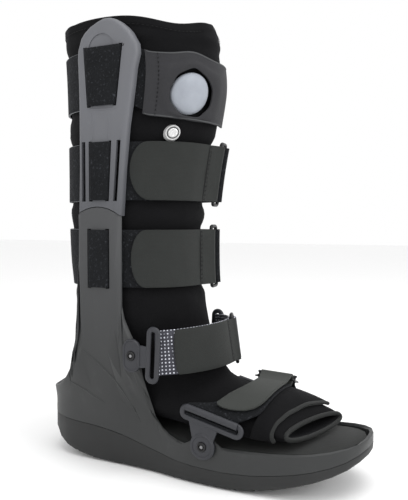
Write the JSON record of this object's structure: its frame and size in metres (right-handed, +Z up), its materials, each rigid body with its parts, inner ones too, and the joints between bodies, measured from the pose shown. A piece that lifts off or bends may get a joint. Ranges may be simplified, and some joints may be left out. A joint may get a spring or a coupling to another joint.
{
  "type": "medical walking boot",
  "caption": "Tall rigid walking boot with a rocker sole, side uprights, a padded open-toe liner and wide hook-and-loop straps.",
  "frame": {"origin": "on the ground, under the leg's axis", "axes": "+Z up, the toe points along -Y, the wearer's right side is at -X"},
  "size_m": [0.1384, 0.314, 0.4054],
  "materials": {
    "shell_plastic": "satin",
    "sole_rubber": "matte",
    "footbed_foam": "matte",
    "liner_fleece": "velour",
    "loop_tape": "looped pile",
    "webbing": "woven",
    "black_plastic": "satin",
    "rivet_metal": "satin",
    "pale_vinyl": "matte",
    "valve_metal": "polished"
  },
  "bodies": {
    "root": {"ankle_anchor": "webbing", "ankle_loop_left": "black_plastic", "ankle_loop_right": "black_plastic", "ankle_ring": "black_plastic", "ankle_rivet_left": "rivet_metal", "ankle_rivet_right": "rivet_metal", "ankle_strap": "webbing", "ankle_strap_tab": "webbing", "footbed": "footbed_foam", "forefoot_anchor": "loop_tape", "forefoot_loop_left": "black_plastic", "forefoot_loop_right": "black_plastic", "forefoot_ring": "black_plastic", "forefoot_rivet_left": "rivet_metal", "forefoot_rivet_right": "rivet_metal", "forefoot_strap": "loop_tape", "forefoot_strap_tab": "webbing", "liner": "liner_fleece", "liner_foot": "liner_fleece", "lower_ring": "black_plastic", "lower_strap": "loop_tape", "lower_strap_tab": "webbing", "middle_ring": "black_plastic", "middle_strap": "loop_tape", "middle_strap_tab": "webbing", "outsole": "sole_rubber", "pump_bulb": "pale_vinyl", "shell": "shell_plastic", "strut_upper_left": "shell_plastic", "strut_upper_right": "shell_plastic", "toe_flap": "liner_fleece", "top_strap": "loop_tape", "top_strap_cover": "webbing", "valve_body": "valve_metal", "valve_button": "black_plastic"}
  },
  "joints": []
}
